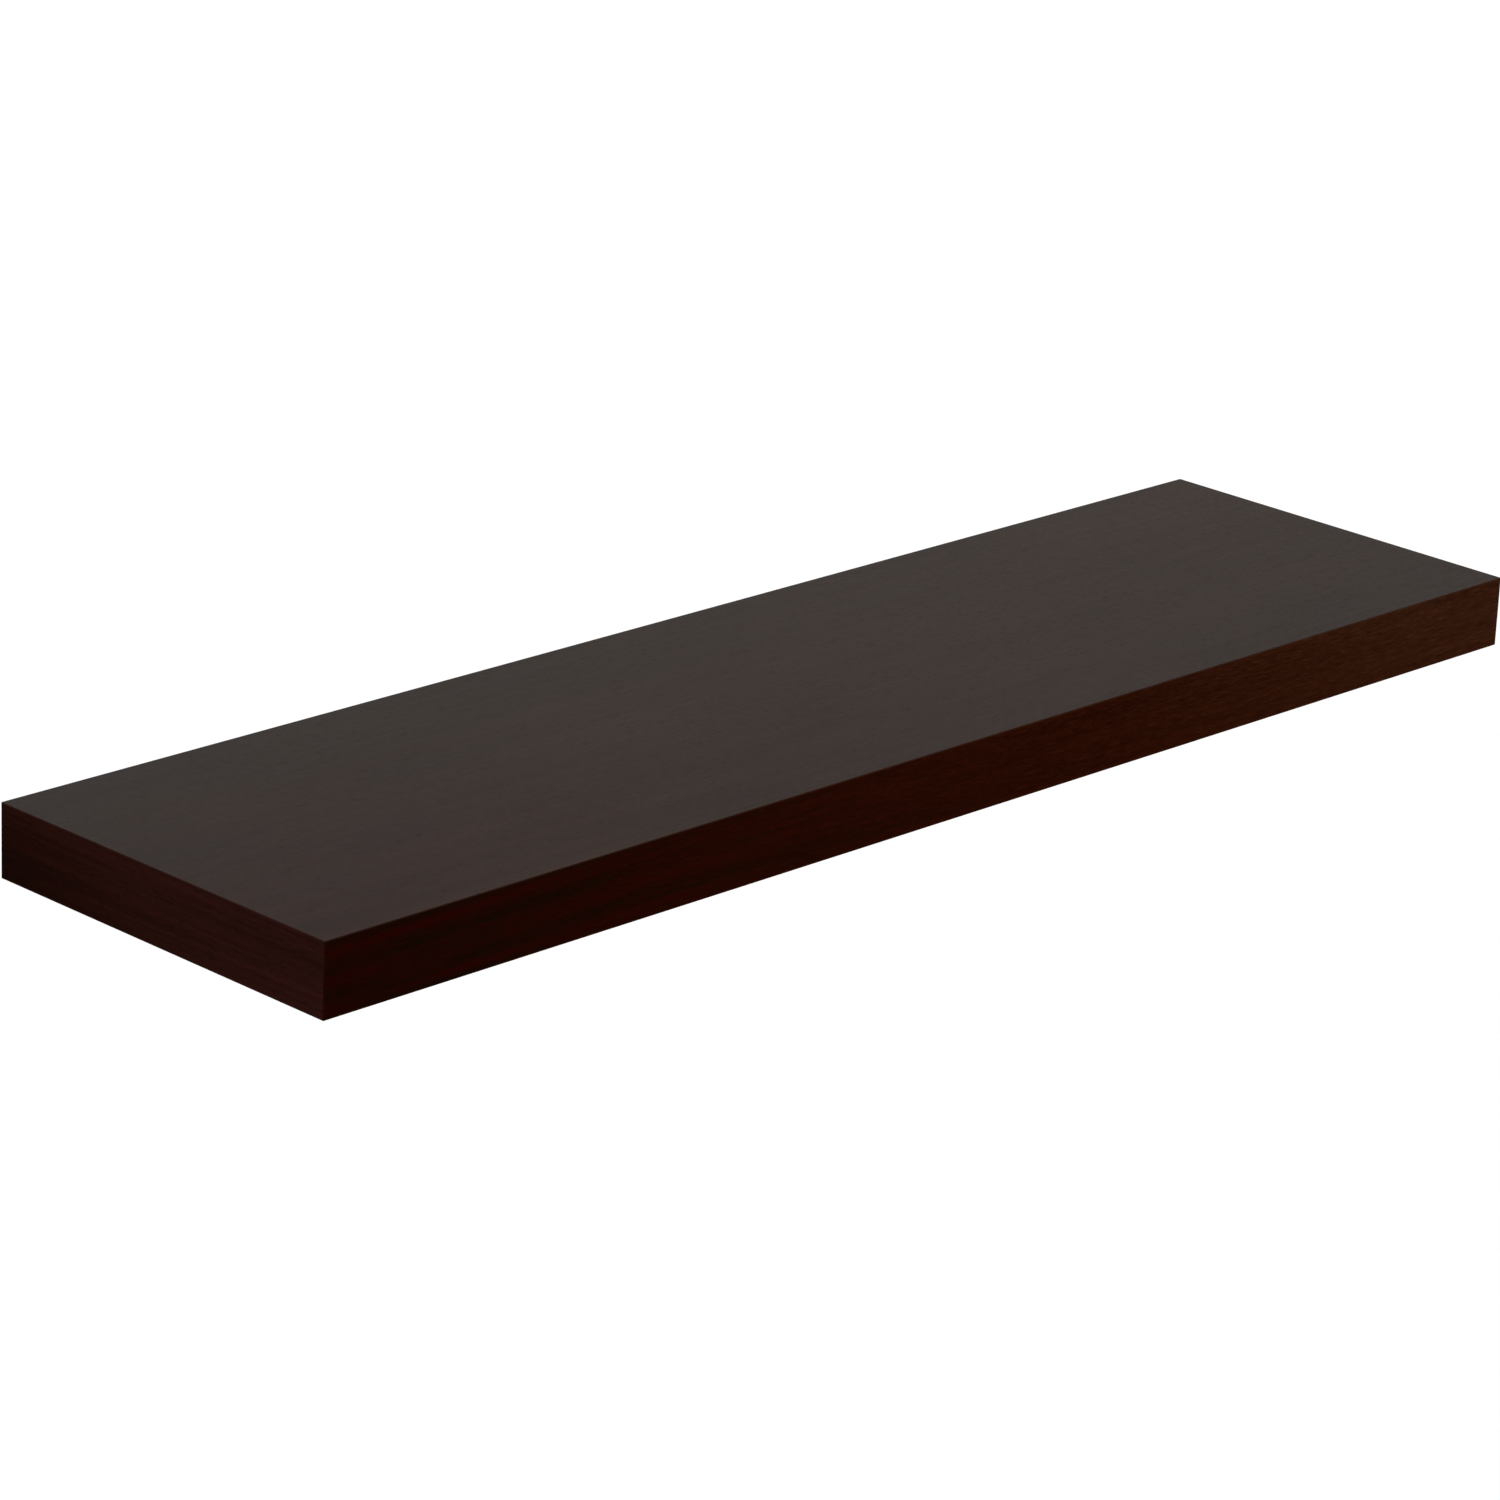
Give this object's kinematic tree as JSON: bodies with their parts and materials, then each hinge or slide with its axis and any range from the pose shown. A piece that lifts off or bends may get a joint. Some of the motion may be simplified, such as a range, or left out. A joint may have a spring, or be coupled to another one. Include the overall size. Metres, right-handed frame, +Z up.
{
  "type": "wall shelf",
  "caption": "Floating wall shelf: a veneered hollow-core slab that slides on to the rods of a hidden steel bracket and is locked from below.",
  "frame": {"origin": "middle of the wall plate's back face: on the wall, at the shelf's middle, at the slab's mid height", "axes": "+X to the right seen from the room, +Y into the wall (the shelf stands out towards -Y), +Z up"},
  "size_m": [0.914, 0.2485, 0.0414],
  "materials": {
    "black_steel": "satin black powder coat",
    "fibreboard": "raw fibreboard",
    "softwood": "raw planed pine",
    "beech": "raw beech",
    "honeycomb_paper": "kraft paper",
    "top_sheet": "satin, espresso stained veneer",
    "bottom_sheet": "satin, espresso stained veneer",
    "front_strip": "satin, espresso stained veneer, grain along the shelf",
    "end_strip": "satin, espresso stained veneer, grain front to back",
    "insert_brass": "turned brass",
    "screw_steel": "blackened steel"
  },
  "bodies": {
    "bracket": {"wall_plate": "black_steel", "left_rod": "black_steel", "centre_rod": "black_steel", "right_rod": "black_steel", "rod_welds": "black_steel"},
    "shelf": {"top_skin": "fibreboard", "bottom_skin": "fibreboard", "front_rail": "softwood", "rear_rail": "softwood", "left_stile": "softwood", "right_stile": "softwood", "left_rib": "softwood", "centre_rib": "softwood", "right_rib": "softwood", "frame_dowels": "beech", "outer_left_core": "honeycomb_paper", "inner_left_core": "honeycomb_paper", "inner_right_core": "honeycomb_paper", "outer_right_core": "honeycomb_paper", "top_veneer": "top_sheet", "bottom_veneer": "bottom_sheet", "front_veneer": "front_strip", "left_end_veneer": "end_strip", "right_end_veneer": "end_strip", "left_insert": "insert_brass", "right_insert": "insert_brass"},
    "left_lock": {"left_lock_screw": "screw_steel"},
    "right_lock": {"right_lock_screw": "screw_steel"}
  },
  "joints": [
    {"name": "shelf_slide", "type": "slide", "parent": "bracket", "child": "shelf", "axis": [0, -1, 0], "range_m": [0, 0.15]},
    {"name": "left_lock_travel", "type": "slide", "parent": "shelf", "child": "left_lock", "axis": [0, 0, -1], "range_m": [0, 0.0025]},
    {"name": "right_lock_travel", "type": "slide", "parent": "shelf", "child": "right_lock", "axis": [0, 0, -1], "range_m": [0, 0.0025]}
  ]
}
